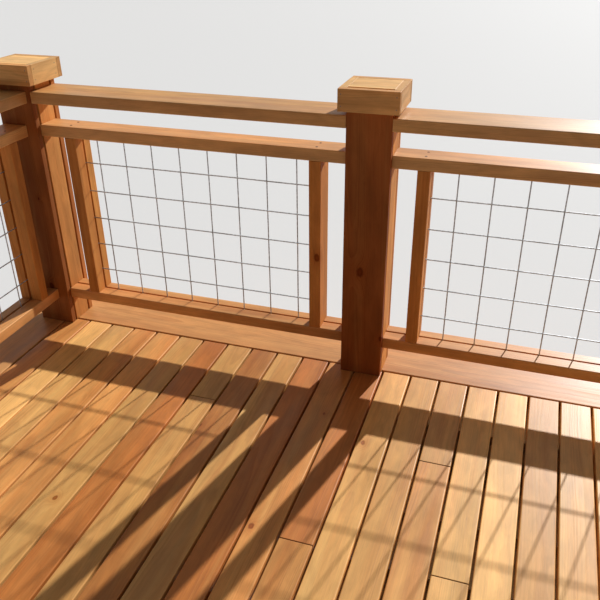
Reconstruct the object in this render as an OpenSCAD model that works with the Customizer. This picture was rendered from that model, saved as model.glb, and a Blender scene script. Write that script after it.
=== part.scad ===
// A corner of a raised cedar deck: a boarded floor on joists, box posts with
// caps, flat rails, and welded wire panels held in saw kerfs.
// Millimetres. X runs along the back railing, Y away from the open front edge,
// Z up from the ground. The origin is the middle of the footprint on the ground.

/* [Layout] */
// Distance between the box posts along the back, centre to centre
post_pitch = 1200; // [1100:10:1500]
// Clear length of a side bay, face to face of its posts
side_clear = 1060; // [1000:10:1400]
// Height of the floor surface above the ground
deck_h = 762; // [500:2:1200]

/* [Lumber] */
// Thickness of rails, stiles, joists and floor boards
lumber_t = 38; // [32:1:45]
// Width of narrow rails, stiles and floor boards
narrow_w = 89; // [80:1:100]
// Width of the top rail and of the side border boards
wide_w = 140; // [120:1:150]
// Width of the border board along the back
back_border_w = 148; // [130:1:160]
// Thickness of the facing boards of posts and caps
facing_t = 21; // [17:1:25]
// Radius of the eased long edges of rails, stiles and floor boards
ease_r = 3; // [1:0.5:6]

/* [Box posts] */
// Side of the rough square core of a post, which is also its leg
core_w = 94; // [88:1:100]
// Width of the grooves beside the side boards of the corner posts
corner_groove = 8; // [1:0.5:12]
// Width of the grooves beside the side boards of the middle post
middle_groove = 3.5; // [1:0.5:12]
// Space between the top rail and the bottom of the cap on the middle post
cap_gap = 14; // [5:1:40]
// How much higher the corner posts and their caps stand than the middle one
corner_rise = 8; // [0:1:20]
// Height of the cap ring
cap_h = 64; // [50:1:90]
// Thickness of the plug that closes the cap
plug_t = 38; // [19:1:45]
// Width of the shadow gap behind each plug and in front of those at the corners
plug_gap = 3; // [1:0.5:12]
// Width of the shadow gap in front of the plug on the middle post
middle_gap = 12; // [1:0.5:16]

/* [Railing] */
// Open height under the bottom rail
under_gap = 102; // [80:1:120]
// Clear height of the wire panel opening
opening_h = 582; // [500:1:620]
// Clear width of the wire panel opening
opening_w = 820; // [740:1:850]
// Open height between the second rail and the top rail
upper_gap = 75; // [50:1:85]
// How far rails and stiles stand forward of the panel they hold
rail_lead = 4; // [0:1:12]
// How far the side railings stand outward of the middle of their posts
side_set_out = 20; // [0:1:24]

/* [Wire panels] */
// Size of one square of the mesh
mesh_pitch = 101.6; // [90:0.1:110]
// Diameter of the wire
wire_d = 4.1; // [3:0.1:5]
// Overlap of two wires where they are welded
weld_depth = 0.4; // [0.2:0.1:1]
// Height of the lowest level wire above the bottom rail
first_wire = 80; // [50:1:95]
// How far the frame of the back left panel stands off centre, to the right
left_frame_shift = 3; // [0:1:20]
// How far the frame of the back right panel stands off centre, to the left
right_frame_shift = 9; // [0:1:20]
// How far the grid of the back right panel is cut off centre, to the right
grid_shift = 23; // [0:1:30]
// How far the frames of the side panels stand off centre, to the back
side_frame_shift = 22; // [0:1:30]
// Width of the saw kerf that holds the panel
kerf_w = 9; // [8:0.5:12]
// Depth of the saw kerf
kerf_d = 12; // [8:1:15]
// Space left between the ends of the wires and the bottom of a kerf
wire_end_gap = 1; // [0.5:0.5:2]

/* [Floor] */
// Gap between floor boards
board_gap = 6.8; // [3:0.2:8]
// Overhang of the side border boards beyond the rim joists
side_overhang = 30; // [10:1:32]
// Overhang of the floor beyond the front and back rim joists
end_overhang = 34; // [10:1:40]
// Space between a post core and the boards notched round it
notch_gap = 3; // [2:0.5:5]
// Gap at the end joint of two boards in one row
end_gap = 2; // [1:0.5:4]

/* [Frame under the floor] */
// Depth of the joists and rim joists
joist_h = 184; // [140:1:235]
// Distance of the spare joist, under one board joint, from the back posts
spare_joist = 355; // [330:1:380]
// Distance of the second regular joist from the back posts, centre to centre
joist_second = 443; // [425:1:460]
// Distance between the regular joists, centre to centre
joist_pitch = 195.5; // [185:0.5:210]

/* [Hidden] */

cedar = "peru";
cedar_dark = "sienna";
cedar_pale = "burlywood";
galvanised = "silver";

// Box post: front and back boards lie on the core, side boards between them
post_w = core_w + 2 * facing_t;

// Centres of the posts
post_x = post_pitch;
post_y = (side_clear + post_w) / 2;
corners = [[-post_x, -post_y], [-post_x, post_y], [0, post_y], [post_x, post_y], [post_x, -post_y]];

// Levels of the railing
bottom_z = deck_h + under_gap;
opening_z = bottom_z + lumber_t;
second_z = opening_z + opening_h;
top_z = second_z + lumber_t + upper_gap;
cap_z = top_z + lumber_t + cap_gap;

// Height of the middle post above the floor, up to the plug of its cap
post_h = cap_z + cap_h - plug_t - deck_h;

// Plan of the rim joists and of the floor edge
rim_in_x = post_x + core_w / 2;
rim_out_x = rim_in_x + lumber_t;
edge_x = rim_out_x + side_overhang;
rim_in_y = post_y + core_w / 2;
rim_out_y = rim_in_y + lumber_t;
edge_y = rim_out_y + end_overhang;
rim_z = deck_h - lumber_t - joist_h;
// Joists from the back posts forwards: a regular row, and the spare one
regular_y = [for (k = [-1:3]) post_y - joist_second - k * joist_pitch];
joists_y = concat([post_y - spare_joist], regular_y);

// Rows of narrow boards between the side borders, the last one ripped to fit
field_x = edge_x - wide_w - board_gap;
field_end_y = edge_y - back_border_w - board_gap;
board_pitch = narrow_w + board_gap;
rows = ceil((2 * field_x + board_gap) / board_pitch);
row_left = [for (i = [0:rows - 1]) -field_x + i * board_pitch];
row_right = [for (i = [0:rows - 1]) min(-field_x + i * board_pitch + narrow_w, field_x)];
// End joints: the row of boards and the joist that each one lies on
end_joints = [[7, 0], [12, 4], [15, 2], [16, 4]];

// Clear length of a bay along the back, face to face of its posts
back_clear = post_pitch - post_w;

// Wire panel
flat_d = wire_d * cos(180 / 8);
layer = (flat_d - weld_depth) / 2;
upright_wires = floor((opening_w - wire_d) / mesh_pitch);
level_wires = 1 + floor((opening_h - first_wire - wire_d) / mesh_pitch);

// Section of a board with eased long edges, from the origin
module board_section(wide, thick) {
    translate([ease_r, 0])
        square([wide - 2 * ease_r, thick]);
    translate([0, ease_r])
        square([wide, thick - 2 * ease_r]);
    for (x = [ease_r, wide - ease_r])
        for (y = [ease_r, thick - ease_r])
            translate([x, y])
                circle(r = ease_r, $fn = 24);
}

// Board lying along X, centred on it, from height z0
module board_x(len, wide, z0) {
    translate([-len / 2, -wide / 2, z0])
        rotate([90, 0, 90])
            linear_extrude(height = len)
                board_section(wide, lumber_t);
}

// Board lying along Y between two places, its left edge at x, its top at the floor surface
module board_y(x, wide, from_y, to_y) {
    translate([x, to_y, deck_h - lumber_t])
        rotate([90, 0, 0])
            linear_extrude(height = to_y - from_y)
                board_section(wide, lumber_t);
}

// Long saw cut along X, centred on it, from height z0
module kerf_x(len, z0) {
    translate([-len / 2 - 1, -kerf_w / 2, z0])
        cube([len + 2, kerf_w, kerf_d + 1]);
}

module top_rail(len) {
    color(cedar)
        board_x(len, wide_w, top_z);
}

module second_rail(len) {
    color(cedar)
        difference() {
            translate([0, -rail_lead, 0])
                board_x(len, narrow_w, second_z);
            kerf_x(len, second_z - 1);
        }
}

module bottom_rail(len) {
    color(cedar)
        difference() {
            translate([0, -rail_lead, 0])
                board_x(len, narrow_w, bottom_z);
            kerf_x(len, opening_z - kerf_d);
        }
}

// Upright of the panel frame; hand is +1 at the right end and -1 at the left end
module stile(hand) {
    inner = opening_w / 2;
    color(cedar_pale)
        difference() {
            translate([hand > 0 ? inner : -inner - lumber_t, -narrow_w / 2 - rail_lead, opening_z])
                linear_extrude(height = opening_h)
                    board_section(lumber_t, narrow_w);
            translate([hand > 0 ? inner - 1 : -inner - kerf_d, -kerf_w / 2, opening_z - 1])
                cube([kerf_d + 1, kerf_w, opening_h + 2]);
        }
}

// Eight-sided wire with two of its flats facing along Y
module wire(len) {
    rotate([0, 0, 180 / 8])
        cylinder(h = len, d = wire_d, $fn = 8);
}

module wire_panel(shift = 0) {
    low = opening_z - kerf_d;
    up_len = opening_h + 2 * kerf_d - wire_end_gap;
    across_len = opening_w + 2 * kerf_d - 2 * wire_end_gap;
    color(galvanised)
        union() {
            for (i = [0:upright_wires - 1])
                translate([(i - (upright_wires - 1) / 2) * mesh_pitch + shift, layer, low])
                    wire(up_len);
            for (j = [0:level_wires - 1])
                translate([-across_len / 2, -layer, opening_z + first_wire + j * mesh_pitch])
                    rotate([0, 90, 0])
                        wire(across_len);
        }
}

// Places of the bays: back left, back right, left side, right side
module on_back(side) {
    translate([side * post_pitch / 2, post_y, 0])
        children();
}

// Place of the panel frames along the back, which stand off centre in their bays
module on_back_frame(side) {
    translate([side > 0 ? -right_frame_shift : left_frame_shift, 0, 0])
        on_back(side)
            children();
}

module on_side(side) {
    translate([side * (post_x + side_set_out), 0, 0])
        rotate([0, 0, side > 0 ? -90 : 90])
            children();
}

// Place of the panel frames in the side bays
module on_side_frame(side) {
    translate([0, side_frame_shift, 0])
        on_side(side)
            children();
}

module post_core(at, rise = corner_rise) {
    color(cedar_dark)
        translate([at[0] - core_w / 2, at[1] - core_w / 2, 0])
            cube([core_w, core_w, deck_h + post_h + rise]);
}

module post_box(at, groove = corner_groove, rise = corner_rise) {
    side_w = core_w - 2 * groove;
    board_h = post_h + rise;
    color(cedar)
        translate([at[0], at[1], deck_h]) {
            for (face = [-1, 1])
                translate([-post_w / 2, face > 0 ? core_w / 2 : -post_w / 2, 0])
                    cube([post_w, facing_t, board_h]);
            for (face = [-1, 1])
                translate([face > 0 ? core_w / 2 : -post_w / 2, -side_w / 2, 0])
                    cube([facing_t, side_w, board_h]);
        }
}

// Ring of boards on edge round the head of the post, closed by a plug
module post_cap(at, front_gap = plug_gap, rise = corner_rise) {
    outer = post_w + 2 * facing_t;
    color(cedar_pale)
        translate([at[0], at[1], cap_z + rise])
            difference() {
                translate([-outer / 2, -outer / 2, 0])
                    cube([outer, outer, cap_h]);
                translate([-post_w / 2, -post_w / 2, -1])
                    cube([post_w, post_w, cap_h - plug_t + 1]);
                translate([-post_w / 2, -post_w / 2, cap_h - plug_t - 1])
                    cube([post_w, front_gap, plug_t + 2]);
                translate([-post_w / 2, post_w / 2 - plug_gap, cap_h - plug_t - 1])
                    cube([post_w, plug_gap, plug_t + 2]);
            }
}

// Room left in the floor round every post core
module core_notches() {
    side = core_w + 2 * notch_gap;
    for (at = corners)
        translate([at[0] - side / 2, at[1] - side / 2, deck_h - lumber_t - 1])
            cube([side, side, lumber_t + 2]);
}

module floor_boards() {
    color(cedar)
        difference() {
            for (i = [0:rows - 1])
                board_y(row_left[i], row_right[i] - row_left[i], -edge_y, field_end_y);
            for (joint = end_joints)
                translate([row_left[joint[0]] - 1, joists_y[joint[1]] - end_gap / 2, deck_h - lumber_t - 1])
                    cube([narrow_w + 2, end_gap, lumber_t + 2]);
            core_notches();
        }
}

module back_border_board() {
    color(cedar)
        difference() {
            translate([0, edge_y - back_border_w / 2, 0])
                board_x(2 * edge_x, back_border_w, deck_h - lumber_t);
            core_notches();
        }
}

module side_border_board(side) {
    color(cedar)
        difference() {
            board_y(side > 0 ? edge_x - wide_w : -edge_x, wide_w, -edge_y, edge_y - back_border_w - end_gap);
            core_notches();
        }
}

module floor_joists() {
    color(cedar_dark)
        for (y = joists_y)
            translate([-rim_in_x, y - lumber_t / 2, rim_z])
                cube([2 * rim_in_x, lumber_t, joist_h]);
}

// Pieces between the back posts, under the joint of floor boards and border
module border_joist() {
    len = post_pitch - core_w;
    joint_y = field_end_y + board_gap / 2;
    color(cedar_dark)
        for (side = [-1, 1])
            translate([side * post_pitch / 2 - len / 2, joint_y - lumber_t / 2, rim_z])
                cube([len, lumber_t, joist_h]);
}

// Rim joist along X; side is +1 at the back and -1 at the front
module long_rim(side) {
    color(cedar_dark)
        translate([-rim_out_x, side > 0 ? rim_in_y : -rim_out_y, rim_z])
            cube([2 * rim_out_x, lumber_t, joist_h]);
}

// Rim joist along Y; side is +1 at the right and -1 at the left
module side_rim(side) {
    color(cedar_dark)
        translate([side > 0 ? rim_in_x : -rim_out_x, -rim_in_y, rim_z])
            cube([lumber_t, 2 * rim_in_y, joist_h]);
}

post_core(corners[0]);  // post_core_front_left
post_core(corners[1]);  // post_core_back_left
post_core(corners[2], 0);  // post_core_middle
post_core(corners[3]);  // post_core_back_right
post_core(corners[4]);  // post_core_front_right
post_box(corners[0]);  // post_box_front_left
post_box(corners[1]);  // post_box_back_left
post_box(corners[2], middle_groove, 0);  // post_box_middle
post_box(corners[3]);  // post_box_back_right
post_box(corners[4]);  // post_box_front_right
post_cap(corners[0]);  // post_cap_front_left
post_cap(corners[1]);  // post_cap_back_left
post_cap(corners[2], middle_gap, 0);  // post_cap_middle
post_cap(corners[3]);  // post_cap_back_right
post_cap(corners[4]);  // post_cap_front_right
on_side(-1) top_rail(side_clear);  // left_top_rail
on_side(-1) second_rail(side_clear);  // left_second_rail
on_side(-1) bottom_rail(side_clear);  // left_bottom_rail
on_side_frame(-1) stile(-1);  // left_front_stile
on_side_frame(-1) stile(1);  // left_back_stile
on_side_frame(-1) wire_panel();  // left_wire_panel
on_back(-1) top_rail(back_clear);  // back_left_top_rail
on_back(-1) second_rail(back_clear);  // back_left_second_rail
on_back(-1) bottom_rail(back_clear);  // back_left_bottom_rail
on_back_frame(-1) stile(-1);  // back_left_outer_stile
on_back_frame(-1) stile(1);  // back_left_inner_stile
on_back_frame(-1) wire_panel();  // back_left_wire_panel
on_back(1) top_rail(back_clear);  // back_right_top_rail
on_back(1) second_rail(back_clear);  // back_right_second_rail
on_back(1) bottom_rail(back_clear);  // back_right_bottom_rail
on_back_frame(1) stile(-1);  // back_right_inner_stile
on_back_frame(1) stile(1);  // back_right_outer_stile
on_back_frame(1) wire_panel(grid_shift);  // back_right_wire_panel
on_side(1) top_rail(side_clear);  // right_top_rail
on_side(1) second_rail(side_clear);  // right_second_rail
on_side(1) bottom_rail(side_clear);  // right_bottom_rail
on_side_frame(1) stile(1);  // right_front_stile
on_side_frame(1) stile(-1);  // right_back_stile
on_side_frame(1) wire_panel();  // right_wire_panel
floor_boards();
back_border_board();
side_border_board(-1);  // left_border_board
side_border_board(1);  // right_border_board
floor_joists();
border_joist();
long_rim(1);  // back_rim_joist
long_rim(-1);  // front_rim_joist
side_rim(-1);  // left_rim_joist
side_rim(1);  // right_rim_joist
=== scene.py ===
import math
import random
import bpy
from mathutils import Matrix, Vector


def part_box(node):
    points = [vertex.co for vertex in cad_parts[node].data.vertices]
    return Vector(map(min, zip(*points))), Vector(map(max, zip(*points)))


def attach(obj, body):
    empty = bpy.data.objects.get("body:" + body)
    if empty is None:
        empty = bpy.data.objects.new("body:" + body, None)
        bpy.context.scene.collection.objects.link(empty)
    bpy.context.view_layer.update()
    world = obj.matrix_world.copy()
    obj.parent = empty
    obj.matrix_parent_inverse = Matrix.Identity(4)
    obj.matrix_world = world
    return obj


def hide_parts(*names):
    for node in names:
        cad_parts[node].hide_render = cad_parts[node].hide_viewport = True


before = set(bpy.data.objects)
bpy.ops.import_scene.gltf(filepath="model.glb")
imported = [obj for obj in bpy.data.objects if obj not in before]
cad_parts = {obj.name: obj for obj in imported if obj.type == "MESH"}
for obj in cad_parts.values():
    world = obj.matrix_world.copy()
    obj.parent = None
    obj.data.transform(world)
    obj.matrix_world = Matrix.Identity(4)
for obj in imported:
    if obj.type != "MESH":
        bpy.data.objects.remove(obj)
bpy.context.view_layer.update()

# Viewpoint
# The eye is near the open front edge of the deck and looks down at the back
# railing, a little to the left, with a wide lens.
eye_place = Vector((0.44846, -1.44914, 2.15922))
turned_left, tipped_down, tilted = 0.32205, 0.50308, -0.01037  # in radians
photo_side, focal_length = 600, 717.1  # in pixels of the photograph
eye = bpy.data.cameras.new("Eye")
eye.sensor_width = 36
eye.lens = eye.sensor_width * focal_length / photo_side
eye.clip_start = 0.02
eye.clip_end = 400
viewpoint = bpy.data.objects.new("Eye", eye)
bpy.context.scene.collection.objects.link(viewpoint)
viewpoint.matrix_world = (
    Matrix.Translation(eye_place)
    @ Matrix.Rotation(turned_left, 4, "Z")
    @ Matrix.Rotation(math.pi / 2 - tipped_down, 4, "X")
    @ Matrix.Rotation(tilted, 4, "Z")
)
bpy.context.scene.camera = viewpoint
bpy.context.scene.view_settings.view_transform = "Standard"


# Studio
# A plain pale floor under an even pale dome. The main lamp stands low behind the
# back railing, a little to the right, and a broad weak one fills in from high above.
def put(tree, kind, feeds=None, **settings):
    """A new node with its settings; feeds gives its inputs numbers or other nodes' outputs."""
    node = tree.nodes.new(kind)
    for name, value in settings.items():
        setattr(node, name, value)
    for socket, value in (feeds or {}).items():
        if isinstance(value, bpy.types.NodeSocket):
            tree.links.new(value, node.inputs[socket])
        else:
            node.inputs[socket].default_value = value
    return node


def seen_directly(tree):
    """1 where the eye or a shiny surface looks at the background, and 0 where it only lights."""
    path = put(tree, "ShaderNodeLightPath").outputs
    shiny = put(tree, "ShaderNodeMath", {0: path["Is Glossy Ray"], 1: path["Is Transmission Ray"]},
                operation="ADD")
    either = put(tree, "ShaderNodeMath", {0: path["Is Camera Ray"], 1: shiny.outputs[0]},
                 operation="ADD", use_clamp=True)
    return either.outputs[0]


dome_light, dome_seen = 0.1, 0.75
dome = bpy.data.worlds.new("Pale dome")
dome.use_nodes = True
dome_tree = dome.node_tree
dome_tree.nodes.clear()
lighting = put(dome_tree, "ShaderNodeBackground", {"Color": (1, 1, 1, 1), "Strength": dome_light})
showing = put(dome_tree, "ShaderNodeBackground", {"Color": (1, 1, 1, 1), "Strength": dome_seen})
dome_mix = put(dome_tree, "ShaderNodeMixShader", {0: seen_directly(dome_tree), 1: lighting.outputs[0],
                                                 2: showing.outputs[0]})
put(dome_tree, "ShaderNodeOutputWorld", {"Surface": dome_mix.outputs[0]})
bpy.context.scene.world = dome

ground_reach, ground_sides = 90, 64
ground_rim = []
for i in range(ground_sides):
    angle = math.tau * i / ground_sides
    ground_rim.append((ground_reach * math.cos(angle), ground_reach * math.sin(angle), 0))
ground = bpy.data.meshes.new("Ground")
ground.from_pydata(ground_rim, [], [list(range(ground_sides))])
plaster = bpy.data.materials.new("Pale floor")
plaster.use_nodes = True
plaster_skin = plaster.node_tree.nodes["Principled BSDF"].inputs
plaster_skin["Base Color"].default_value = (0.78, 0.775, 0.765, 1)
plaster_skin["Roughness"].default_value = 0.9
plaster_skin["Specular IOR Level"].default_value = 0.1
ground.materials.append(plaster)
ground_floor = bpy.data.objects.new("Ground", ground)
bpy.context.scene.collection.objects.link(ground_floor)


def hang_lamp(name, strength, spread, towards, height):
    """A far lamp; towards is its light's direction in plan, height its angle above the ground, in degrees."""
    lamp = bpy.data.lights.new(name, "SUN")
    lamp.energy = strength
    lamp.angle = math.radians(spread)
    holder = bpy.data.objects.new(name, lamp)
    bpy.context.scene.collection.objects.link(holder)
    flat = Vector((towards[0], towards[1], 0)).normalized() * math.cos(math.radians(height))
    way = flat - Vector((0, 0, math.sin(math.radians(height))))
    holder.rotation_mode = "QUATERNION"
    holder.rotation_quaternion = way.to_track_quat("-Z", "Y")


hang_lamp("Main lamp", strength=6.4, spread=0.9, towards=(-0.247, -0.969), height=22.3)
hang_lamp("High lamp", strength=0.25, spread=60, towards=(-0.5, -0.6), height=62)


# Post cores
# Rough square timbers that stand on the ground and carry the frame, the floor
# and the railing. They are sawn from the heart of a log, brown and unplaned.
def linear(red, green, blue):
    """A colour as it looks on a screen, 0 to 255, as the numbers that a material takes."""
    return tuple((c / 12.92 if c <= 0.04045 else ((c + 0.055) / 1.055) ** 2.4)
                 for c in (red / 255, green / 255, blue / 255)) + (1.0,)


def reckon(tree, operation, *values):
    """One step of arithmetic."""
    return put(tree, "ShaderNodeMath", dict(enumerate(values)), operation=operation).outputs[0]


def shift(tree, operation, first, second):
    """One step of arithmetic on a place, in all three directions."""
    return put(tree, "ShaderNodeVectorMath", {0: first, 1: second}, operation=operation).outputs[0]


def reach_of(tree, place):
    """How far a place is from zero."""
    return put(tree, "ShaderNodeVectorMath", {0: place}, operation="LENGTH").outputs["Value"]


def fade(tree, value, low, high, first=0.0, last=1.0):
    """Rises smoothly from first to last while the value goes from low to high."""
    return put(tree, "ShaderNodeMapRange", {0: value, 1: low, 2: high, 3: first, 4: last},
               interpolation_type="SMOOTHSTEP").outputs[0]


def tint(tree, amount, under, over, mode="MIX"):
    """One colour laid over another."""
    return put(tree, "ShaderNodeMix", {0: amount, 6: under, 7: over}, data_type="RGBA",
               blend_type=mode, clamp_factor=True).outputs[2]


def streaks(tree, grain, along, across, detail=2.0, warp=0.0):
    """Noise drawn out along the grain, 0 to 1; along and across are counts in a metre."""
    stretched = shift(tree, "MULTIPLY", grain, (along, across, across))
    return put(tree, "ShaderNodeTexNoise", {"Vector": stretched, "Scale": 1.0, "Detail": detail,
                                            "Roughness": 0.55, "Distortion": warp}).outputs[0]


def told(tree, label):
    """What the board says under this label."""
    return put(tree, "ShaderNodeAttribute", attribute_name=label).outputs["Vector"]


def three_of(tree, place):
    """The three numbers of a place or a label."""
    return put(tree, "ShaderNodeSeparateXYZ", {0: place}).outputs


def cedar(name, honey, red, pale, olive, ring_gap=0.0036, ring_depth=0.5, knot_share=0.35,
          roughness=0.46, sawn=0.0, bare_end=0.62, bark_at=0.2, shine=0.09):
    """Oiled cedar. The grain is cut out of a log: rings round a pith that runs beside the board.

    Every board brings four values: grain is its place in the log, tone is how red, how light and how
    olive it is, edge says where its edges are worn and carry a painted highlight and where it was cut across,
    and own_knot is the distance from a knot chosen for it, along the board, across and through, in radii of
    the knot.
    """
    wood = bpy.data.materials.new(name)
    wood.use_nodes = True
    tree = wood.node_tree
    tree.nodes.clear()
    grain = told(tree, "grain")
    log_along, log_side, log_deep = three_of(tree, grain)
    tone_red, tone_light, tone_olive = three_of(tree, told(tree, "tone"))
    worn, cut_across = three_of(tree, told(tree, "edge"))[:2]

    # Knots: one chance in each patch of board, most of them small
    patches_along, patches_across, knot_stretch = 2.3, 8.5, 0.62
    least_knot, more_knot, few_large, far_off = 0.0024, 0.0065, 2.5, 99.0
    raggedness, own_raggedness, halo_radii = 0.004, 0.5, 2.6
    patch = shift(tree, "MULTIPLY", grain, (patches_along, patches_across, 0.0))
    cell = put(tree, "ShaderNodeTexVoronoi", {"Vector": patch, "Scale": 1.0}, voronoi_dimensions="2D").outputs
    apart = shift(tree, "SUBTRACT", patch, cell["Position"])
    apart = shift(tree, "MULTIPLY", apart, (knot_stretch / patches_along, 1 / patches_across, 0.0))
    ragged = reckon(tree, "SUBTRACT", streaks(tree, grain, along=90, across=160, detail=1.0), 0.5)
    knot_off = reckon(tree, "MULTIPLY_ADD", ragged, raggedness, reach_of(tree, apart))
    chance = put(tree, "ShaderNodeSeparateColor", {0: cell["Color"]}).outputs
    knot_size = reckon(tree, "POWER", chance[1], few_large)
    knot_size = reckon(tree, "MULTIPLY_ADD", knot_size, more_knot, least_knot)
    knot_near = reckon(tree, "DIVIDE", knot_off, knot_size)
    no_knot = reckon(tree, "SUBTRACT", 1.0, reckon(tree, "LESS_THAN", chance[0], knot_share))
    knot_near = reckon(tree, "ADD", knot_near, reckon(tree, "MULTIPLY", no_knot, far_off))
    chosen = reach_of(tree, told(tree, "own_knot"))
    chosen = reckon(tree, "MULTIPLY_ADD", ragged, own_raggedness, chosen)
    knot_near = reckon(tree, "MINIMUM", knot_near, chosen)
    knot_core = fade(tree, knot_near, 1.3, 0.6)
    bent = reckon(tree, "MULTIPLY", knot_near, 1 / halo_radii)
    knot_halo = reckon(tree, "MULTIPLY", reckon(tree, "MULTIPLY", bent, bent), -1.0)
    knot_halo = reckon(tree, "EXPONENT", knot_halo)

    # Growth rings: distance from the pith, bent by slow waves and by the knots
    slow_bend, quick_bend, knot_bend, good_years = 0.034, 0.0042, 0.012, 95.0
    side_squared = reckon(tree, "MULTIPLY", log_side, log_side)
    deep_squared = reckon(tree, "MULTIPLY", log_deep, log_deep)
    radius = reckon(tree, "SQRT", reckon(tree, "ADD", side_squared, deep_squared))
    slow = streaks(tree, grain, along=1.1, across=5.0, detail=1.0)
    quick = streaks(tree, grain, along=7.0, across=34.0)
    for wave, bend in ((slow, slow_bend), (quick, quick_bend), (knot_halo, knot_bend)):
        radius = reckon(tree, "MULTIPLY_ADD", wave, bend, radius)
    part = reckon(tree, "FRACT", reckon(tree, "DIVIDE", radius, ring_gap))
    late = reckon(tree, "MULTIPLY", fade(tree, part, 0.15, 0.82), fade(tree, part, 1.0, 0.9))
    decade = reckon(tree, "MULTIPLY", radius, good_years)
    good_year = put(tree, "ShaderNodeTexNoise", {"W": decade, "Scale": 1.0, "Detail": 1.0},
                    noise_dimensions="1D").outputs[0]
    late = reckon(tree, "MULTIPLY", late, fade(tree, good_year, 0.35, 0.75, 0.12, 1.0))

    # Colour: heartwood between honey and red in long streaks, pale sapwood towards the bark, olive clouds
    band = streaks(tree, grain, along=0.8, across=24.0, warp=0.3)
    cloud = streaks(tree, grain, along=2.2, across=11.0)
    fibre = streaks(tree, grain, along=16.0, across=820.0)
    fleck = streaks(tree, grain, along=26.0, across=330.0)
    mottle = streaks(tree, grain, along=9.0, across=30.0, detail=3.0, warp=0.6)
    band_depth, sap_wander, sap_fade, pitch_depth, halo_depth = 1.15, 0.02, 0.014, 0.4, 0.6
    redness = reckon(tree, "MULTIPLY", reckon(tree, "SUBTRACT", band, 0.5), band_depth)
    colour = tint(tree, reckon(tree, "ADD", tone_red, redness), honey, red)
    sap = reckon(tree, "MULTIPLY_ADD", slow, sap_wander, radius)
    colour = tint(tree, fade(tree, sap, bark_at, bark_at + sap_fade, 0.0, 0.85), colour, pale)
    colour = tint(tree, reckon(tree, "MULTIPLY", tone_olive, fade(tree, cloud, 0.35, 0.66)), colour, olive)
    # Late wood, pitch and knots are shares of the board's own colour
    late_share, halo_share = (0.52, 0.36, 0.27, 1.0), (0.8, 0.58, 0.42, 1.0)
    core_share, rim_share = (0.6, 0.42, 0.24, 1.0), (0.36, 0.2, 0.08, 1.0)
    darker = tint(tree, 1.0, colour, late_share, "MULTIPLY")
    colour = tint(tree, reckon(tree, "MULTIPLY", late, ring_depth), colour, darker)
    pitch = reckon(tree, "MULTIPLY", fade(tree, fleck, 0.66, 0.8), pitch_depth)
    colour = tint(tree, pitch, colour, darker)
    round_knot = tint(tree, 1.0, colour, halo_share, "MULTIPLY")
    colour = tint(tree, reckon(tree, "MULTIPLY", knot_halo, halo_depth), colour, round_knot)
    knot_wood = tint(tree, fade(tree, knot_near, 0.25, 1.0), core_share, rim_share)
    colour = tint(tree, knot_core, colour, tint(tree, 1.0, colour, knot_wood, "MULTIPLY"))
    # Light and dark: fibres, clouds and mottling, paler edges (partly wear, partly a painted highlight along
    # the eased arris) and darker cut ends
    wear_and_glint_gain = 0.12
    weight = tone_light
    for shade in (fade(tree, fibre, 0.2, 0.8, 0.92, 1.07), fade(tree, cloud, 0.25, 0.75, 0.76, 1.14),
                  fade(tree, mottle, 0.25, 0.75, 0.87, 1.1),
                  # Paler eased edges: partly wear, partly a painted highlight where the edges catch the light
                  reckon(tree, "MULTIPLY_ADD", worn, wear_and_glint_gain, 1.0),
                  reckon(tree, "MULTIPLY_ADD", cut_across, bare_end - 1.0, 1.0)):
        weight = reckon(tree, "MULTIPLY", weight, shade)
    grey = put(tree, "ShaderNodeCombineColor", {0: weight, 1: weight, 2: weight}).outputs[0]
    colour = tint(tree, 1.0, colour, grey, "MULTIPLY")

    # Surface: the late wood stands a little proud, the fibres are felt, the saw leaves marks on rough stock
    ring_rise, fibre_rise, knot_sink, pitch_sink = 0.32, 0.42, -0.5, -0.6
    tooth_gap, saw_wander = 0.0042, 24.0
    height = reckon(tree, "MULTIPLY_ADD", late, ring_rise, reckon(tree, "MULTIPLY", fibre, fibre_rise))
    height = reckon(tree, "MULTIPLY_ADD", knot_core, knot_sink, height)
    height = reckon(tree, "MULTIPLY_ADD", pitch, pitch_sink, height)
    if sawn:
        strokes = reckon(tree, "MULTIPLY", log_along, math.tau / tooth_gap)
        teeth = reckon(tree, "SINE", reckon(tree, "MULTIPLY_ADD", cloud, saw_wander, strokes))
        height = reckon(tree, "MULTIPLY_ADD", teeth, sawn, height)
    bump = put(tree, "ShaderNodeBump", {"Height": height, "Strength": 0.55, "Distance": 0.0005}).outputs[0]
    late_rough, cloud_rough, end_rough = 0.08, 0.3, 0.2
    rough = reckon(tree, "MULTIPLY_ADD", late, late_rough, roughness)
    rough = reckon(tree, "MULTIPLY_ADD", reckon(tree, "SUBTRACT", cloud, 0.5), cloud_rough, rough)
    rough = reckon(tree, "MULTIPLY_ADD", cut_across, end_rough, rough)
    skin = put(tree, "ShaderNodeBsdfPrincipled", {"Base Color": colour, "Roughness": rough, "Normal": bump,
                                                  "Specular IOR Level": shine})
    put(tree, "ShaderNodeOutputMaterial", {"Surface": skin.outputs[0]})
    return wood


def section_outline(width, thick, ease, kerf=None):
    """Points round a board's section with eased corners.

    kerf is a saw cut: (side, width, depth, off centre).
    """
    steps = 3
    half_w, half_t = width / 2, thick / 2
    points = []
    corners = [(half_w - ease, -half_t + ease, -90), (half_w - ease, half_t - ease, 0),
               (-half_w + ease, half_t - ease, 90), (-half_w + ease, -half_t + ease, 180)]
    for number, (u, v, start) in enumerate(corners):
        if kerf and ((number == 0 and kerf[0] < 0) or (number == 2 and kerf[0] > 0)):
            side, cut, depth, aside = kerf
            near, far = aside + side * cut / 2, aside - side * cut / 2
            face, floor = side * half_t, side * (half_t - depth)
            points += [(near, face), (near, floor), (far, floor), (far, face)]
        for step in range(steps + 1):
            angle = math.radians(start + 90 * step / steps)
            points.append((u + ease * math.cos(angle), v + ease * math.sin(angle)))
    return points


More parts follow.
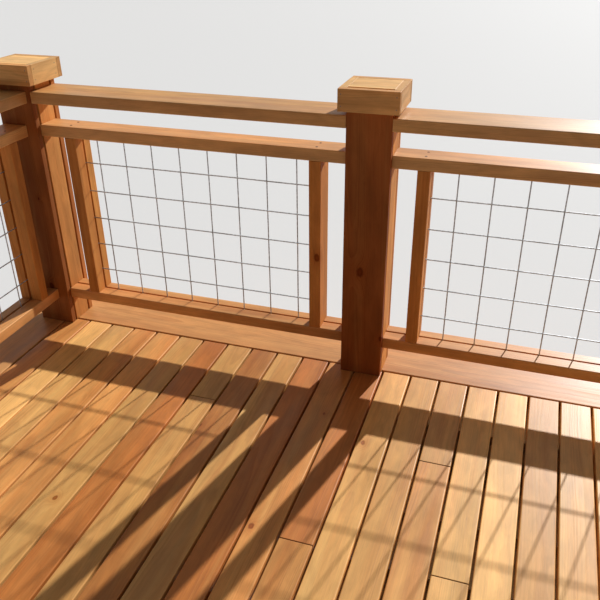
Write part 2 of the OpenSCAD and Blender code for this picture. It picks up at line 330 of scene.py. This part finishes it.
def drawn_in(points, by):
    """The same outline, moved inwards by a small distance."""
    moved = []
    for i, (u, v) in enumerate(points):
        before, after = Vector(points[i - 1]), Vector(points[(i + 1) % len(points)])
        here = Vector((u, v))
        first, second = (here - before).normalized(), (after - here).normalized()
        inward = Vector((-first.y - second.y, first.x + second.x)).normalized()
        moved.append(tuple(here + inward * by))
    return moved


def discard(thing):
    """Takes away a helper object and its mesh."""
    shape = thing.data
    bpy.data.objects.remove(thing)
    bpy.data.meshes.remove(shape)


def notched(verts, faces, notches):
    """The solid with square notches taken out of it; each notch is (lowest corner, highest corner)."""
    blank = bpy.data.meshes.new("blank")
    blank.from_pydata(verts, [], faces)
    timber = bpy.data.objects.new("blank", blank)
    bpy.context.scene.collection.objects.link(timber)
    box_sides = [(0, 1, 3, 2), (4, 6, 7, 5), (0, 4, 5, 1), (2, 3, 7, 6), (0, 2, 6, 4), (1, 5, 7, 3)]
    cutters = []
    for low, high in notches:
        tool = bpy.data.meshes.new("notch")
        corners = [(x, y, z) for x in (low[0], high[0]) for y in (low[1], high[1]) for z in (low[2], high[2])]
        tool.from_pydata(corners, [], box_sides)
        cutter = bpy.data.objects.new("notch", tool)
        bpy.context.scene.collection.objects.link(cutter)
        cutters.append(cutter)
        cut = timber.modifiers.new("notch", "BOOLEAN")
        cut.operation = "DIFFERENCE"
        cut.solver = "EXACT"
        cut.object = cutter
    done = bpy.data.meshes.new_from_object(timber.evaluated_get(bpy.context.evaluated_depsgraph_get()))
    verts = [tuple(v.co) for v in done.vertices]
    faces = [tuple(p.vertices) for p in done.polygons]
    for thing in cutters + [timber]:
        discard(thing)
    bpy.data.meshes.remove(done)
    return verts, faces


X, Y, Z = 0, 1, 2
kinds = {  # how red, how light and how olive a board is
    "honey": (0.2, 1.02, 0.25), "pale": (0.0, 1.13, 0.05), "amber": (0.6, 1.0, 0.05), "red": (1.0, 0.84, 0.0),
    "olive": (0.3, 0.93, 0.75), "tan": (0.34, 0.94, 0.5), "rosy": (0.55, 1.0, 0.1), "brown": (0.9, 0.74, 0.3),
}
clear_wood = (9.0, 0.0, 0.0, 0.01)  # a chosen knot far off the board


def board(low, high, along, thick, kind, luck, ease=0.003, end_ease=0.0009, kerf=None, notches=(), lean=0.0,
          knot=clear_wood):
    """One board between two corners, in metres. along and thick are the axes of its grain and its thickness.

    kerf and notches are cut out of it, and lean is the most that either of its ends may lie low.
    knot is a chosen knot: its place from the low end, off the middle across and through, and its radius.
    """
    low, high = Vector(low), Vector(high)
    wide = 3 - along - thick
    middle = (low + high) / 2
    width, depth = high[wide] - low[wide], high[thick] - low[thick]
    outline = section_outline(width, depth, ease, kerf)
    small = drawn_in(outline, end_ease)
    if (wide - along) % 3 != 1:
        outline, small = outline[::-1], small[::-1]
    rings = [(low[along], small), (low[along] + end_ease, outline), (high[along] - end_ease, outline),
             (high[along], small)]
    verts, faces = [], []
    for where, ring in rings:
        for u, v in ring:
            point = middle.copy()
            point[along], point[wide], point[thick] = where, middle[wide] + u, middle[thick] + v
            verts.append(tuple(point))
    count = len(outline)
    for r in range(len(rings) - 1):
        for i in range(count):
            j = (i + 1) % count
            faces.append((r * count + i, r * count + j, (r + 1) * count + j, (r + 1) * count + i))
    faces.append(tuple(range(count))[::-1])
    faces.append(tuple(range((len(rings) - 1) * count, len(rings) * count)))
    if notches:
        verts, faces = notched(verts, faces, notches)

    # Its own place in the log, and its own shade of its kind
    pith = (luck.uniform(-0.05, 0.05), luck.choice((-1, 1)) * luck.uniform(0.03, 0.12))
    drift, start, swap = luck.uniform(-0.03, 0.03), luck.uniform(0, 60), luck.choice((-1, 1))
    red, light, olive = kinds[kind]
    tone = (red + luck.uniform(-0.07, 0.07), light * luck.uniform(0.96, 1.04), olive)
    knot_at, knot_aside, knot_through, knot_radius = knot
    knot_stretch, wear_and_glint_share, end_face = 0.66, 0.7, 1e-5
    grain, edge, own_knot = [], [], []
    for vert in verts:
        far, u, v = vert[along] - middle[along], vert[wide] - middle[wide], vert[thick] - middle[thick]
        grain.append((swap * far + start, u - pith[0] - drift * far, v - pith[1]))
        off_knot = (vert[along] - low[along] - knot_at) * knot_stretch, u - knot_aside, v - knot_through
        own_knot.append(tuple(off / knot_radius for off in off_knot))
        over = min(abs(u) - (width / 2 - ease), abs(v) - (depth / 2 - ease))
        ends = min(abs(vert[along] - low[along]), abs(vert[along] - high[along]))
        # The first edge value marks the eased corners, which the shader makes paler for wear and a painted
        # highlight
        edge.append((min(max(over / (wear_and_glint_share * ease), 0.0), 1.0), 1.0 if ends < end_face else 0.0, 0.0))
    if lean:
        first_tip, last_tip = luck.uniform(-lean, 0), luck.uniform(-lean, 0)
        level, verts = verts, []
        for vert in level:
            before, after = vert[along] - low[along], high[along] - vert[along]
            point = list(vert)
            point[thick] += (first_tip * after + last_tip * before) / (high[along] - low[along])
            verts.append(tuple(point))
    return {"verts": verts, "faces": faces, "grain": grain, "edge": edge, "own_knot": own_knot,
            "tone": [tone] * len(verts)}


def fit(name, boards, finish, slot, *nodes):
    """Makes one piece out of its boards and sets it in the place of its CAD nodes."""
    mesh = bpy.data.meshes.new(name)
    verts, faces = [], []
    for item in boards:
        first = len(verts)
        verts += item["verts"]
        faces += [tuple(first + i for i in face) for face in item["faces"]]
    mesh.from_pydata(verts, [], faces)
    for label in ("grain", "edge", "tone", "own_knot"):
        values = [number for item in boards for vector in item[label] for number in vector]
        mesh.attributes.new(label, "FLOAT_VECTOR", "POINT").data.foreach_set("vector", values)
    mesh.materials.append(finish)
    mesh.validate()
    piece = bpy.data.objects.new(name, mesh)
    bpy.context.scene.collection.objects.link(piece)
    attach(piece, "root")
    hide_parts(*nodes)


luck = random.Random(17)
places = ("front_left", "back_left", "middle", "back_right", "front_right")
rough_cedar = cedar("Rough sawn timber", linear(158, 112, 68), linear(128, 80, 46), linear(178, 140, 92),
                    linear(118, 100, 62), ring_gap=0.0048, knot_share=0.5, roughness=0.72, sawn=0.45)
for spot in places:
    low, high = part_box("post_core_" + spot)
    core = board(low, high, Z, Y, luck.choice(("honey", "red", "tan")), luck, ease=0.004, end_ease=0.003)
    fit("Core_" + spot, [core], rough_cedar, "leg_wood", "post_core_" + spot)

# Frame under the floor
# Planks on edge, sawn and unoiled: four rim joists round the cores, six joists
# from side to side, and two short pieces between the back cores.
joist_cedar = cedar("Joist lumber", linear(176, 134, 88), linear(146, 98, 60), linear(198, 162, 112),
                    linear(132, 116, 76), ring_gap=0.0055, knot_share=0.55, roughness=0.66, sawn=0.2)
joist_t, sawn_ease = 0.038, 0.0004
for node, along, thick in (("back_rim_joist", X, Y), ("front_rim_joist", X, Y), ("left_rim_joist", Y, X),
                           ("right_rim_joist", Y, X)):
    low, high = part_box(node)
    rim = board(low, high, along, thick, luck.choice(("honey", "tan")), luck, ease=sawn_ease)
    fit(node.capitalize(), [rim], joist_cedar, "joist_wood", node)
low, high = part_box("floor_joists")
core_half = 0.047
posts_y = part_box("post_core_middle")[0].y + core_half
spare_joist, second_joist, joist_pitch = 0.355, 0.443, 0.1955
joist_middles = [posts_y - spare_joist] + [posts_y - second_joist - k * joist_pitch for k in (-1, 0, 1, 2, 3)]
joists = []
for y, kind in zip(joist_middles, ("honey", "tan", "tan", "honey", "tan", "honey")):
    joists.append(board((low.x, y - joist_t / 2, low.z), (high.x, y + joist_t / 2, high.z), X, Y, kind, luck,
                        ease=sawn_ease))
fit("Floor_joists", joists, joist_cedar, "joist_wood", "floor_joists")
low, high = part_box("border_joist")
short_pieces = []
for start, end, kind in ((low.x, -core_half, "tan"), (core_half, high.x, "honey")):
    short_pieces.append(board((start, low.y, low.z), (end, high.y, high.z), X, Y, kind, luck, ease=sawn_ease))
fit("Border_joist", short_pieces, joist_cedar, "joist_wood", "border_joist")

# Floor boards
# Narrow cedar boards with eased edges, laid from front to back with open gaps
# and held from below. A few rows are made of two lengths that meet on a joist.
floor_cedar = cedar("Floor cedar", linear(238, 184, 110), linear(208, 128, 62), linear(248, 210, 144),
                    linear(199, 152, 84), ring_gap=0.0042, ring_depth=0.27, knot_share=0.1, roughness=0.43,
                    bark_at=0.18, shine=0.26)
low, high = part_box("floor_boards")
board_w, board_pitch, joint_gap, board_lean = 0.089, 0.0958, 0.002, 0.0008
row_kinds = ("amber", "pale", "honey", "amber", "amber", "olive", "red", "olive", "brown", "tan", "red",
             "amber", "red", "honey", "tan", "tan", "pale", "pale", "tan", "honey", "pale", "honey", "amber",
             "honey", "tan")
second_kinds = {7: "tan", 12: "amber", 15: "rosy", 16: "honey"}
floor_knots = {5: (0.427, 0.002, 0.019, 0.006), 11: (0.494, -0.03, 0.019, 0.007)}
end_joints = {7: 0, 12: 4, 15: 2, 16: 4}
notch_half, notch_foot, notch_head = 0.05, 0.7, 0.8
core_notches = []
for spot in places:
    core_low, core_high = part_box("post_core_" + spot)
    x, y = (core_low.x + core_high.x) / 2, (core_low.y + core_high.y) / 2
    core_notches.append(((x - notch_half, y - notch_half, notch_foot),
                         (x + notch_half, y + notch_half, notch_head)))


def notches_of(low, high):
    """The core notches that reach into a board."""
    return [(start, end) for start, end in core_notches
            if start[0] < high[0] and end[0] > low[0] and start[1] < high[1] and end[1] > low[1]]


luck = random.Random(5)
floor = []
for row, kind in enumerate(row_kinds):
    left = low.x + row * board_pitch
    right = min(left + board_w, high.x)
    stretches = [(low.y, high.y, kind)]
    if row in end_joints:
        joint = joist_middles[end_joints[row]]
        stretches = [(joint + joint_gap / 2, high.y, kind), (low.y, joint - joint_gap / 2, second_kinds[row])]
    for start, end, kind in stretches:
        corners = (left, start, low.z), (right, end, high.z)
        floor.append(board(*corners, Y, Z, kind, luck, notches=notches_of(*corners), lean=board_lean,
                           knot=floor_knots.get(row, clear_wood)))
fit("Floor_boards", floor, floor_cedar, "floor_wood", "floor_boards")

# Border boards
# Wide cedar boards that frame the floor on three sides: a long one behind the back
# posts and one along each side, notched round the cores and held from below.
border_cedar = cedar("Border cedar", linear(222, 164, 100), linear(196, 124, 66), linear(238, 196, 136),
                     linear(188, 138, 80), ring_gap=0.0042, ring_depth=0.34, knot_share=0.15, roughness=0.44,
                     shine=0.24)
for node, along, kind in (("back_border_board", X, "tan"), ("left_border_board", Y, "honey"),
                          ("right_border_board", Y, "amber")):
    low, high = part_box(node)
    border = board(low, high, along, Z, kind, luck, notches=notches_of(low, high))
    fit(node.capitalize(), [border], border_cedar, "floor_wood", node)

# Box posts
# Four cedar boards round every core, standing on the floor: wide ones in front
# and behind, and narrower ones flush between them, with a shadow groove beside each.
post_cedar = cedar("Post cedar", linear(218, 152, 84), linear(168, 96, 48), linear(232, 178, 112),
                   linear(170, 118, 64), ring_gap=0.0034, ring_depth=0.34, knot_share=0.15, roughness=0.6,
                   shine=0.05)
facing_t, facing_ease = 0.021, 0.0015
# Front boards take darker, redder kinds: painted shade on the fronts, which face away from the main lamp
shaded_front_kinds = {"middle": "red", "back_left": "brown", "front_left": "red"}
front_knots = {"middle": (0.381, -0.012, -0.01, 0.011), "back_left": (0.15, 0.003, -0.01, 0.009)}
luck = random.Random(29)
for spot in places:
    low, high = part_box("post_box_" + spot)
    core_low, core_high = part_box("post_core_" + spot)
    # The right side boards take paler kinds than the rest: painted light on the side the main lamp falls on
    groove, lit_side_kind = (0.0035, "pale") if spot == "middle" else (0.008, "honey")
    side_front, side_back = core_low.y + groove, core_high.y - groove
    sides = [
        board((low.x, low.y, low.z), (high.x, low.y + facing_t, high.z), Z, Y,
              shaded_front_kinds.get(spot, "amber"), luck, ease=facing_ease, knot=front_knots.get(spot, clear_wood)),
        board((low.x, high.y - facing_t, low.z), (high.x, high.y, high.z), Z, Y,
              "amber", luck, ease=facing_ease),
        board((core_low.x - facing_t, side_front, low.z), (core_low.x, side_back, high.z), Z, X,
              "amber", luck, ease=facing_ease),
        board((core_high.x, side_front, low.z), (core_high.x + facing_t, side_back, high.z), Z, X,
              lit_side_kind, luck, ease=facing_ease),
    ]
    fit("Box_" + spot, sides, post_cedar, "post_wood", "post_box_" + spot)

# Post caps
# A ring of cedar boards on edge, nailed round the head of the post. The front and back
# boards run the full width, and a thick plug closes the top between thin slots.
cap_cedar = cedar("Cap cedar", linear(238, 188, 122), linear(208, 138, 74), linear(250, 216, 158),
                  linear(194, 146, 82), ring_gap=0.0034, ring_depth=0.34, knot_share=0.12, roughness=0.5,
                  bare_end=0.8, bark_at=0.3)
plug_t, back_slot, cap_ease, plug_ease = 0.038, 0.003, 0.0004, 0.0002
luck = random.Random(44)
for spot in places:
    low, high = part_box("post_cap_" + spot)
    in_low, in_high = low + Vector((facing_t, facing_t, 0)), high - Vector((facing_t, facing_t, 0))
    front_slot = 0.012 if spot == "middle" else back_slot
    ring = [
        # The front and back ring boards take the redder, darker amber kind: painted shade on the front, which
        # faces away from the main lamp
        board((low.x, low.y, low.z), (high.x, in_low.y, high.z), X, Y, "amber", luck, ease=cap_ease),
        board((low.x, in_high.y, low.z), (high.x, high.y, high.z), X, Y, "amber", luck, ease=cap_ease),
        board((low.x, in_low.y, low.z), (in_low.x, in_high.y, high.z), Y, X, "honey", luck, ease=cap_ease),
        board((in_high.x, in_low.y, low.z), (high.x, in_high.y, high.z), Y, X, "honey", luck, ease=cap_ease),
        board((in_low.x, in_low.y + front_slot, high.z - plug_t), (in_high.x, in_high.y - back_slot, high.z),
              X, Z, "pale", luck, ease=plug_ease),
    ]
    fit("Cap_" + spot, ring, cap_cedar, "cap_wood", "post_cap_" + spot)

# Rails and stiles
# Every bay has a wide flat top rail, a narrow flat second rail and a narrow flat bottom
# rail, with two stiles between the last two, all of cedar. Saw kerfs hold the wire.
rail_cedar = cedar("Rail cedar", linear(232, 178, 112), linear(202, 128, 68), linear(244, 206, 148),
                   linear(188, 138, 76), ring_gap=0.0038, ring_depth=0.34, knot_share=0.08, roughness=0.44,
                   shine=0.2)
stile_cedar = cedar("Stile cedar", linear(224, 160, 86), linear(190, 114, 54), linear(236, 186, 118),
                    linear(180, 126, 66), ring_gap=0.0036, ring_depth=0.34, knot_share=0.0, roughness=0.56,
                    shine=0.06)
kerf_w, kerf_d, rail_lead = 0.009, 0.012, 0.004
stile_knots = {"back_left_inner_stile": (0.262, -0.045, 0.008, 0.009)}
bays = {"left": (Y, "front_stile", "back_stile"), "back_left": (X, "outer_stile", "inner_stile"),
        "back_right": (X, "inner_stile", "outer_stile"), "right": (Y, "front_stile", "back_stile")}
luck = random.Random(57)
for bay, (run, first_stile, last_stile) in bays.items():
    aside = -rail_lead if bay == "left" else rail_lead
    for rail, kerf_side, kind in (("top_rail", 0, "tan"), ("second_rail", -1, "honey"),
                                  ("bottom_rail", 1, "amber")):
        node = bay + "_" + rail
        kerf = (kerf_side, kerf_w, kerf_d, aside) if kerf_side else None
        lying = board(*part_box(node), run, Z, kind, luck, kerf=kerf)
        fit(node.capitalize(), [lying], rail_cedar, "rail_wood", node)
    for stile, kerf_side in ((first_stile, 1), (last_stile, -1)):
        node = bay + "_" + stile
        standing = board(*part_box(node), Z, run, "amber", luck, kerf=(kerf_side, kerf_w, kerf_d, aside),
                         knot=stile_knots.get(node, clear_wood))
        fit(node.capitalize(), [standing], stile_cedar, "stile_wood", node)

# Wire panels
# Stiff welded mesh with four inch squares: eight upright wires outside, five
# level wires on the deck side, welded where they cross and dipped in zinc.
zinc = bpy.data.materials.new("Galvanised wire")
zinc.use_nodes = True
zinc_tree = zinc.node_tree
zinc_tree.nodes.clear()
spot_at = put(zinc_tree, "ShaderNodeTexCoord").outputs["Object"]
spangle = put(zinc_tree, "ShaderNodeTexNoise", {"Vector": spot_at, "Scale": 170.0, "Detail": 3.0}).outputs[0]
stain = put(zinc_tree, "ShaderNodeTexNoise", {"Vector": spot_at, "Scale": 9.0, "Detail": 2.0}).outputs[0]
bright_zinc, mid_zinc, dull_zinc = linear(196, 199, 202), linear(150, 152, 154), linear(112, 112, 110)
zinc_colour = tint(zinc_tree, fade(zinc_tree, spangle, 0.35, 0.65), mid_zinc, bright_zinc)
zinc_colour = tint(zinc_tree, fade(zinc_tree, stain, 0.5, 0.75, 0.0, 0.45), zinc_colour, dull_zinc)
zinc_rough = fade(zinc_tree, spangle, 0.3, 0.7, 0.34, 0.56)
zinc_bump = put(zinc_tree, "ShaderNodeBump", {"Height": spangle, "Strength": 0.35, "Distance": 0.0003})
zinc_skin = put(zinc_tree, "ShaderNodeBsdfPrincipled", {"Base Color": zinc_colour, "Metallic": 0.9,
                                                       "Roughness": zinc_rough,
                                                       "Normal": zinc_bump.outputs[0]})
put(zinc_tree, "ShaderNodeOutputMaterial", {"Surface": zinc_skin.outputs[0]})

net_tree = bpy.data.node_groups.new("Welded net", "GeometryNodeTree")
net_inputs = {}
for label, kind in (("Uprights", "Int"), ("Level wires", "Int"), ("Square", "Float"), ("Wire", "Float"),
                    ("Upright length", "Float"), ("Level length", "Float"), ("First upright", "Float"),
                    ("Lowest wire", "Float"), ("Layer", "Float"), ("Waver", "Float"), ("Seed", "Float"),
                    ("Finish", "Material")):
    socket = net_tree.interface.new_socket(label, in_out="INPUT", socket_type="NodeSocket" + kind)
    net_inputs[label] = socket.identifier
net_tree.interface.new_socket("Net", in_out="OUTPUT", socket_type="NodeSocketGeometry")
asked = put(net_tree, "NodeGroupInput").outputs
wire_sides, wire_rings, weld_shape = 10, 26, (0.66, 0.5, 0.66)


def spaced(count, x, y, z, step_x, step_z):
    """A row of points in the net's plane."""
    start = put(net_tree, "ShaderNodeCombineXYZ", {0: x, 1: y, 2: z}).outputs[0]
    step = put(net_tree, "ShaderNodeCombineXYZ", {0: step_x, 2: step_z}).outputs[0]
    return put(net_tree, "GeometryNodeMeshLine", {"Count": count, "Start Location": start,
                                                  "Offset": step}).outputs[0]


def drawn_wire(length):
    """A straight length of wire."""
    return put(net_tree, "GeometryNodeMeshCylinder", {"Vertices": wire_sides, "Side Segments": wire_rings,
                                                      "Radius": half_wire, "Depth": length}).outputs["Mesh"]


def set_out(points, piece, **more):
    """The piece set at every point."""
    return put(net_tree, "GeometryNodeInstanceOnPoints", {"Points": points, "Instance": piece,
                                                          **more}).outputs[0]


half_wire = reckon(net_tree, "MULTIPLY", asked["Wire"], 0.5)
half_up = reckon(net_tree, "MULTIPLY", asked["Upright length"], 0.5)
behind = reckon(net_tree, "MULTIPLY", asked["Layer"], -1.0)
foot_points = spaced(asked["Uprights"], asked["First upright"], asked["Layer"], half_up, asked["Square"], 0.0)
uprights = set_out(foot_points, drawn_wire(asked["Upright length"]))
end_points = spaced(asked["Level wires"], 0.0, behind, asked["Lowest wire"], 0.0, asked["Square"])
levels = set_out(end_points, drawn_wire(asked["Level length"]), Rotation=(0.0, math.pi / 2, 0.0))
row_points = spaced(asked["Uprights"], asked["First upright"], 0.0, asked["Lowest wire"],
                    asked["Square"], 0.0)
column = spaced(asked["Level wires"], 0.0, 0.0, 0.0, 0.0, asked["Square"])
crossings = put(net_tree, "GeometryNodeRealizeInstances", {0: set_out(row_points, column)}).outputs[0]
nugget = put(net_tree, "GeometryNodeMeshUVSphere", {"Segments": 10, "Rings": 6, "Radius": asked["Wire"]})
welds = set_out(crossings, nugget.outputs["Mesh"], Scale=weld_shape)
net = put(net_tree, "GeometryNodeJoinGeometry")
for strand in (uprights, levels, welds):
    net_tree.links.new(strand, net.inputs[0])
net = put(net_tree, "GeometryNodeRealizeInstances", {0: net.outputs[0]}).outputs[0]
here = put(net_tree, "GeometryNodeInputPosition").outputs[0]
wander = put(net_tree, "ShaderNodeTexNoise", {"Vector": here, "W": asked["Seed"], "Scale": 3.4,
                                              "Detail": 1.0}, noise_dimensions="4D")
sway = shift(net_tree, "SUBTRACT", wander.outputs["Color"], (0.5, 0.5, 0.5))
sway = put(net_tree, "ShaderNodeVectorMath", {0: sway, "Scale": asked["Waver"]}, operation="SCALE")
net = put(net_tree, "GeometryNodeSetPosition", {"Geometry": net, "Offset": sway.outputs[0]}).outputs[0]
net = put(net_tree, "GeometryNodeSetShadeSmooth", {"Geometry": net}).outputs[0]
net = put(net_tree, "GeometryNodeSetMaterial", {"Geometry": net, "Material": asked["Finish"]}).outputs[0]
put(net_tree, "NodeGroupOutput", {0: net})


def bake(piece):
    """Works the piece's modifiers into its mesh."""
    plain = bpy.data.meshes.new_from_object(piece.evaluated_get(bpy.context.evaluated_depsgraph_get()))
    piece.modifiers.clear()
    piece.data = plain


upright_count, level_count, square, wire_d = 8, 5, 0.1016, 0.0041
layer, waver, lowest_wire, first_seed = 0.0016939, 0.002, 0.092, 3.0
grid_shifts = {"back_right": 0.023}
for seed, (bay, (run, first_stile, last_stile)) in enumerate(bays.items()):
    low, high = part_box(bay + "_wire_panel")
    middle = (low + high) / 2
    shape = bpy.data.meshes.new(bay + "_net")
    panel = bpy.data.objects.new((bay + "_wire_panel").capitalize(), shape)
    bpy.context.scene.collection.objects.link(panel)
    weave = panel.modifiers.new("Net", "NODES")
    weave.node_group = net_tree
    first_upright = -(upright_count - 1) / 2 * square + grid_shifts.get(bay, 0.0)
    for label, value in (("Uprights", upright_count), ("Level wires", level_count), ("Square", square),
                         ("Wire", wire_d), ("Upright length", high.z - low.z),
                         ("Level length", high[run] - low[run]), ("First upright", first_upright),
                         ("Lowest wire", lowest_wire), ("Layer", layer), ("Waver", waver),
                         ("Seed", first_seed + seed), ("Finish", zinc)):
        weave[net_inputs[label]] = value
    bake(panel)
    turn = {"left": math.pi / 2, "right": -math.pi / 2}.get(bay, 0.0)
    panel.data.transform(Matrix.Translation((middle.x, middle.y, low.z)) @ Matrix.Rotation(turn, 4, "Z"))
    panel.data.set_sharp_from_angle(angle=math.radians(50))
    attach(panel, "root")
    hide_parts(bay + "_wire_panel")


# Screws, nails and bolts
# Bronze coated screws hold the second rails to the stiles from above, and the bottom
# rails from below. Small nails hold the caps; big nails and bolts hold the frame.
def steel(name, low, high, rough, metal):
    """A dull metal that wears between two shades."""
    alloy = bpy.data.materials.new(name)
    alloy.use_nodes = True
    tree = alloy.node_tree
    tree.nodes.clear()
    at = put(tree, "ShaderNodeTexCoord").outputs["Object"]
    wear = put(tree, "ShaderNodeTexNoise", {"Vector": at, "Scale": 600.0, "Detail": 2.0}).outputs[0]
    colour = tint(tree, fade(tree, wear, 0.35, 0.65), low, high)
    dents = put(tree, "ShaderNodeBump", {"Height": wear, "Strength": 0.3, "Distance": 0.0002}).outputs[0]
    worn = fade(tree, wear, 0.3, 0.7, rough, rough + 0.15)
    skin = put(tree, "ShaderNodeBsdfPrincipled", {"Base Color": colour, "Metallic": metal, "Normal": dents,
                                                  "Roughness": worn})
    put(tree, "ShaderNodeOutputMaterial", {"Surface": skin.outputs[0]})
    return alloy


def turned_head(name, rings, sides, lobes=0):
    """A head round its own axis; rings are (radius, height, how far lobes pull it in), in millimetres."""
    mm = 0.001
    verts, faces = [], []
    for radius, height, pull in rings:
        for i in range(sides):
            angle = math.tau * i / sides
            r = radius * mm * (1 - pull * (0.5 + 0.5 * math.cos(lobes * angle)))
            verts.append((r * math.cos(angle), r * math.sin(angle), height * mm))
    for ring in range(len(rings) - 1):
        for i in range(sides):
            j = (i + 1) % sides
            faces.append((ring * sides + i, ring * sides + j, (ring + 1) * sides + j, (ring + 1) * sides + i))
    faces.append(tuple(range(sides))[::-1])
    faces.append(tuple(range((len(rings) - 1) * sides, len(rings) * sides)))
    shape = bpy.data.meshes.new(name)
    shape.from_pydata(verts, [], faces)
    holder = bpy.data.objects.new(name, shape)
    bpy.context.scene.collection.objects.link(holder)
    return holder


driven_tree = bpy.data.node_groups.new("Driven heads", "GeometryNodeTree")
driven_inputs = {}
for label, kind in (("Places", "NodeSocketGeometry"), ("Head", "NodeSocketObject"), ("Seed", "NodeSocketInt"),
                    ("Finish", "NodeSocketMaterial")):
    socket = driven_tree.interface.new_socket(label, in_out="INPUT", socket_type=kind)
    driven_inputs[label] = socket.identifier
driven_tree.interface.new_socket("Heads", in_out="OUTPUT", socket_type="NodeSocketGeometry")
given = put(driven_tree, "NodeGroupInput").outputs
facing = put(driven_tree, "GeometryNodeInputNamedAttribute", {"Name": "facing"}, data_type="FLOAT_VECTOR")
aimed = put(driven_tree, "FunctionNodeAlignRotationToVector", {"Vector": facing.outputs[0]}, axis="Z")
spin = put(driven_tree, "FunctionNodeRandomValue", {2: 0.0, 3: math.tau, 8: given["Seed"]}, data_type="FLOAT")
about = put(driven_tree, "FunctionNodeAxisAngleToRotation", {"Axis": (0.0, 0.0, 1.0),
                                                             "Angle": spin.outputs[1]})
aimed = put(driven_tree, "FunctionNodeRotateRotation", {"Rotation": aimed.outputs[0],
                                                        "Rotate By": about.outputs[0]},
            rotation_space="LOCAL")
head = put(driven_tree, "GeometryNodeObjectInfo", {"Object": given["Head"]}).outputs["Geometry"]
heads = put(driven_tree, "GeometryNodeInstanceOnPoints", {"Points": given["Places"], "Instance": head,
                                                         "Rotation": aimed.outputs[0]})
heads = put(driven_tree, "GeometryNodeRealizeInstances", {0: heads.outputs[0]})
heads = put(driven_tree, "GeometryNodeSetMaterial", {"Geometry": heads.outputs[0],
                                                     "Material": given["Finish"]})
put(driven_tree, "NodeGroupOutput", {0: heads.outputs[0]})


def drive(name, spots, pattern, finish, seed):
    """Puts a head at every spot; a spot is (point, direction the head faces)."""
    shape = bpy.data.meshes.new(name)
    shape.from_pydata([tuple(point) for point, way in spots], [], [])
    shape.attributes.new("facing", "FLOAT_VECTOR", "POINT").data.foreach_set(
        "vector", [number for point, way in spots for number in way])
    row = bpy.data.objects.new(name, shape)
    bpy.context.scene.collection.objects.link(row)
    work = row.modifiers.new("Driven", "NODES")
    work.node_group = driven_tree
    work[driven_inputs["Head"]] = pattern
    work[driven_inputs["Seed"]] = seed
    work[driven_inputs["Finish"]] = finish
    bake(row)
    row.data.set_sharp_from_angle(angle=math.radians(35))
    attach(row, "root")


up, down = (0.0, 0.0, 1.0), (0.0, 0.0, -1.0)
front, back, left, right = (0.0, -1.0, 0.0), (0.0, 1.0, 0.0), (-1.0, 0.0, 0.0), (1.0, 0.0, 0.0)
screw_spots, cap_spots, frame_spots, bolt_spots = [], [], [], []
stile_inset = 0.021
for bay, (run, first_stile, last_stile) in bays.items():
    rail_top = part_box(bay + "_second_rail")[1].z
    foot_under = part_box(bay + "_bottom_rail")[0].z
    for stile in (first_stile, last_stile):
        stile_low, stile_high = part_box(bay + "_" + stile)
        for side in (-1, 1):
            point = (stile_low + stile_high) / 2
            point[1 - run] += side * stile_inset
            screw_spots.append(((point.x, point.y, rail_top), up))
            screw_spots.append(((point.x, point.y, foot_under), down))
nail_rise, front_nail_in, side_nail_in = 0.017, 0.0095, 0.034
for spot in places:
    low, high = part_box("post_cap_" + spot)
    middle = (low + high) / 2
    for face in (-1, 1):
        for lift in (-nail_rise, nail_rise):
            for end in (-1, 1):
                front_x = middle.x + end * ((high.x - low.x) / 2 - front_nail_in)
                front_y = low.y if face < 0 else high.y
                cap_spots.append(((front_x, front_y, middle.z + lift), (0.0, face, 0.0)))
                side_x = low.x if face < 0 else high.x
                side_y = middle.y + end * ((high.y - low.y) / 2 - side_nail_in)
                cap_spots.append(((side_x, side_y, middle.z + lift), (face, 0.0, 0.0)))
rim_low, rim_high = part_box("back_rim_joist")
front_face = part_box("front_rim_joist")[0].y
left_face, right_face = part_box("left_rim_joist")[0].x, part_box("right_rim_joist")[1].x
bolt_in, clear_of_middle = 0.045, 0.1
for spot in places:
    core = sum(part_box("post_core_" + spot), Vector()) / 2
    for z in (rim_low.z + bolt_in, rim_high.z - bolt_in):
        if core.y > 0:
            bolt_spots.append(((core.x, rim_high.y, z), back))
        else:
            bolt_spots.append(((core.x, front_face, z), front))
        if core.x < -clear_of_middle:
            bolt_spots.append(((left_face, core.y, z), left))
        if core.x > clear_of_middle:
            bolt_spots.append(((right_face, core.y, z), right))
nail_heights = (0.035, 0.092, 0.149)
for y in joist_middles:
    for rise in nail_heights:
        frame_spots.append(((left_face, y, rim_low.z + rise), left))
        frame_spots.append(((right_face, y, rim_low.z + rise), right))
bronze = steel("Bronze coated screw", linear(84, 52, 32), linear(116, 76, 48), rough=0.5, metal=0.45)
bright = steel("Nail steel", linear(98, 92, 86), linear(148, 142, 134), rough=0.4, metal=0.9)
screw_head = turned_head("screw head", [(3.6, -0.6, 0), (4.0, 0.1, 0), (3.7, 0.5, 0), (2.0, 0.55, 0.3),
                                        (1.6, 0.12, 0.35)], sides=24, lobes=6)
nail_head = turned_head("nail head", [(1.3, -0.5, 0), (1.6, 0.05, 0), (1.4, 0.3, 0), (0.6, 0.22, 0)],
                        sides=12)
spike_head = turned_head("spike head", [(3.6, -0.6, 0), (4.6, 0.4, 0), (4.4, 1.2, 0), (3.2, 1.7, 0)],
                         sides=14)
bolt_head = turned_head("bolt head", [(10.5, -0.5, 0), (10.5, 1.6, 0), (9.6, 2.4, 0), (7.0, 2.5, 0.134),
                                      (7.0, 8.6, 0.134), (6.0, 9.4, 0.1)], sides=24, lobes=6)
drive("Rail_screws", screw_spots, screw_head, bronze, seed=3)
drive("Cap_nails", cap_spots, nail_head, bright, seed=4)
drive("Frame_nails", frame_spots, spike_head, zinc, seed=5)
drive("Frame_bolts", bolt_spots, bolt_head, zinc, seed=6)
for pattern in (screw_head, nail_head, spike_head, bolt_head):
    discard(pattern)
